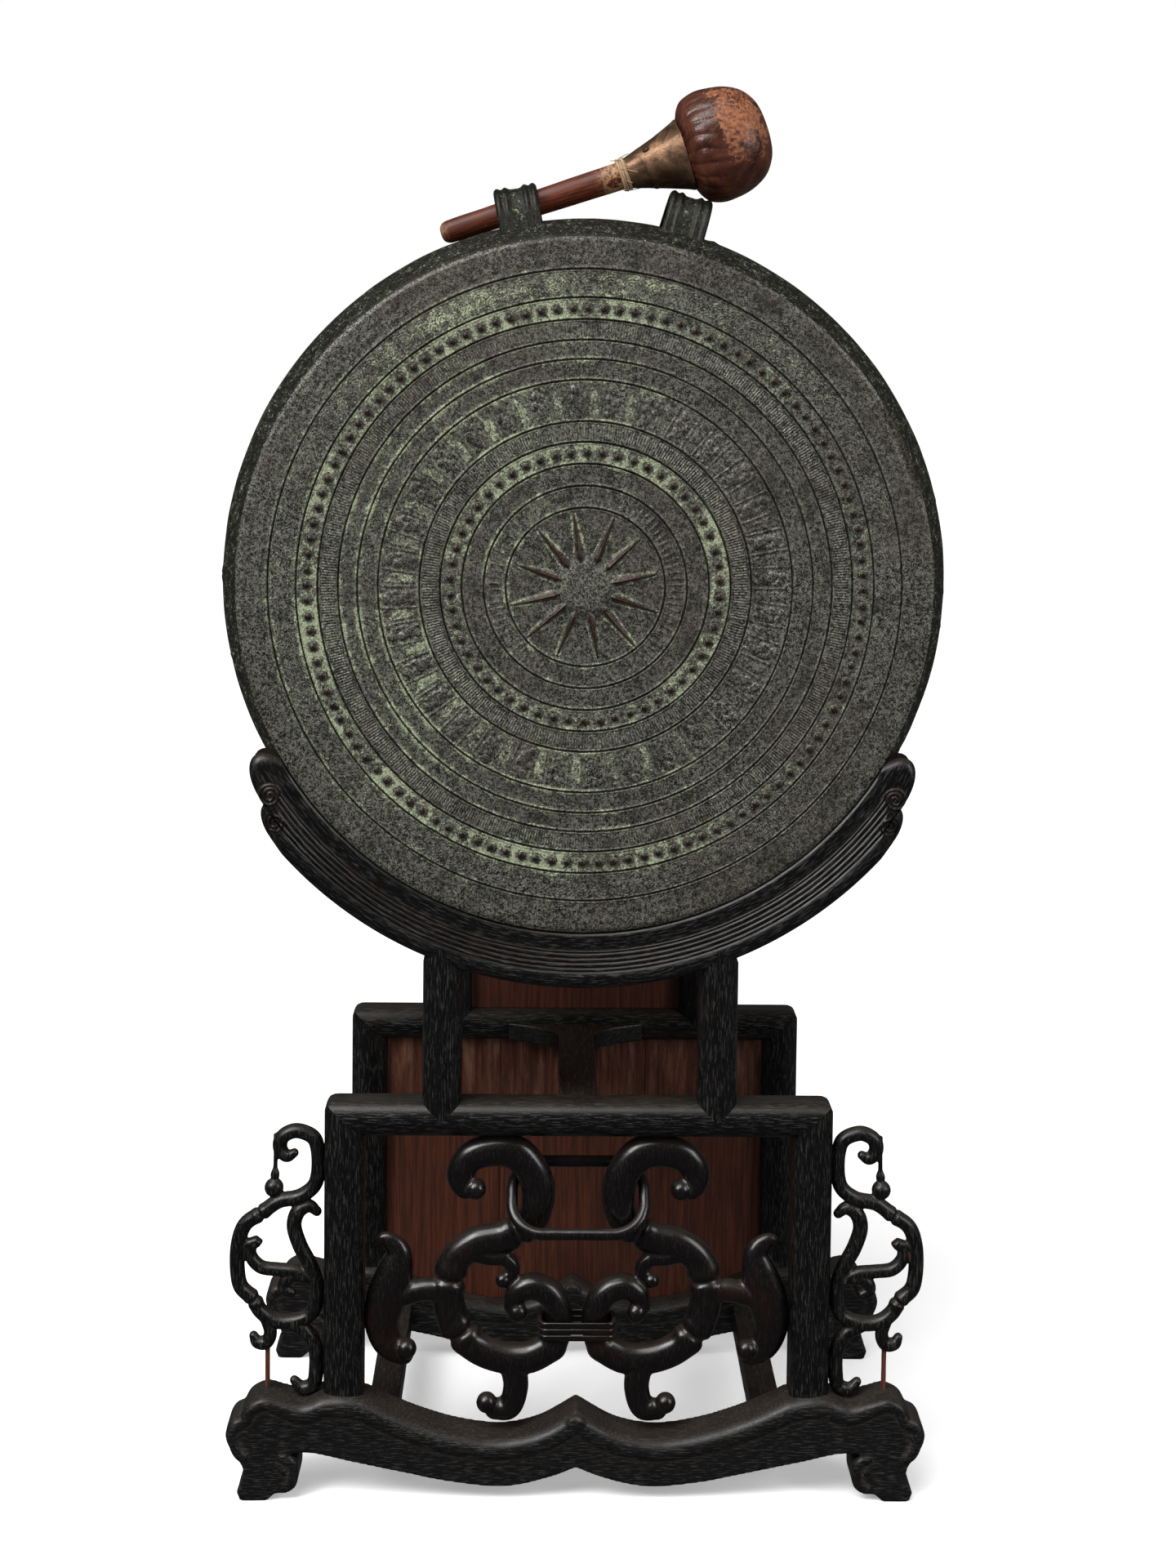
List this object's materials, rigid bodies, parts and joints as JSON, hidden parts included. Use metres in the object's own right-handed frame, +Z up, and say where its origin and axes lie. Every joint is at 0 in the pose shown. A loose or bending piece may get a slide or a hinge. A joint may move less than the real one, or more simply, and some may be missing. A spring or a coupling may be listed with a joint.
{
  "type": "drum gong on stand",
  "caption": "Bronze drum hung on its side as a gong in two crescent cradles of an openwork hardwood stand, with a leather-headed beater laid through its handles.",
  "frame": {"origin": "middle of the footprint, on the floor under the feet", "axes": "+Z up, +X to the right seen from the front, the drum's face towards -Y"},
  "size_m": [0.527, 0.28, 1.0201],
  "materials": {
    "ebonised_wood": "near-black stained hardwood with a satin polish, brown at worn edges",
    "carved_wood": "dark red-brown polished carving",
    "panel_wood": "red-brown board with upright grain",
    "peg_wood": "thin bare red-brown peg",
    "bronze": "dark grey-green bronze with pale green verdigris",
    "stick_wood": "polished red-brown stick",
    "ferrule_metal": "tarnished sheet metal",
    "leather": "dark red-brown leather, scuffed to tan",
    "wadding": "packed wadding",
    "twine": "frayed straw twine"
  },
  "bodies": {
    "stand": {"front_base_board": "ebonised_wood", "front_left_stile": "ebonised_wood", "front_right_stile": "ebonised_wood", "front_top_rail": "ebonised_wood", "front_left_post": "ebonised_wood", "front_right_post": "ebonised_wood", "front_cradle": "ebonised_wood", "rear_base_board": "ebonised_wood", "rear_left_stile": "ebonised_wood", "rear_right_stile": "ebonised_wood", "rear_top_rail": "ebonised_wood", "rear_left_post": "ebonised_wood", "rear_right_post": "ebonised_wood", "rear_cradle": "ebonised_wood", "rear_upper_panel": "panel_wood", "rear_lower_panel": "panel_wood", "left_base_runner": "ebonised_wood", "right_base_runner": "ebonised_wood", "top_stretcher": "ebonised_wood", "left_scroll": "carved_wood", "right_scroll": "carved_wood", "scroll_binding": "carved_wood", "left_wing": "ebonised_wood", "right_wing": "ebonised_wood", "left_wing_peg": "peg_wood", "right_wing_peg": "peg_wood", "left_wing_foot_peg": "peg_wood", "right_wing_foot_peg": "peg_wood"},
    "ring": {"loose_ring": "carved_wood"},
    "drum": {"drum_face": "bronze", "drum_mantle": "bronze", "top_left_handle": "bronze", "top_right_handle": "bronze", "bottom_right_handle": "bronze", "bottom_left_handle": "bronze"},
    "beater": {"beater_stick": "stick_wood", "beater_ferrule": "ferrule_metal", "beater_core": "wadding", "beater_head": "leather", "beater_twine": "twine", "beater_nail_upper": "ferrule_metal", "beater_nail_lower": "ferrule_metal"}
  },
  "joints": [
    {"name": "drum_lift", "type": "slide", "parent": "stand", "child": "drum", "axis": [0, 0, 1], "range_m": [0, 0.3]},
    {"name": "beater_draw", "type": "slide", "parent": "drum", "child": "beater", "axis": [0.9472, 0, 0.3206], "range_m": [0, 0.2]},
    {"name": "ring_swing", "type": "hinge", "parent": "stand", "child": "ring", "pos_m": [0, -0.0986, 0.2364], "axis": [-1, 0, 0], "range_deg": [0, 8]}
  ]
}
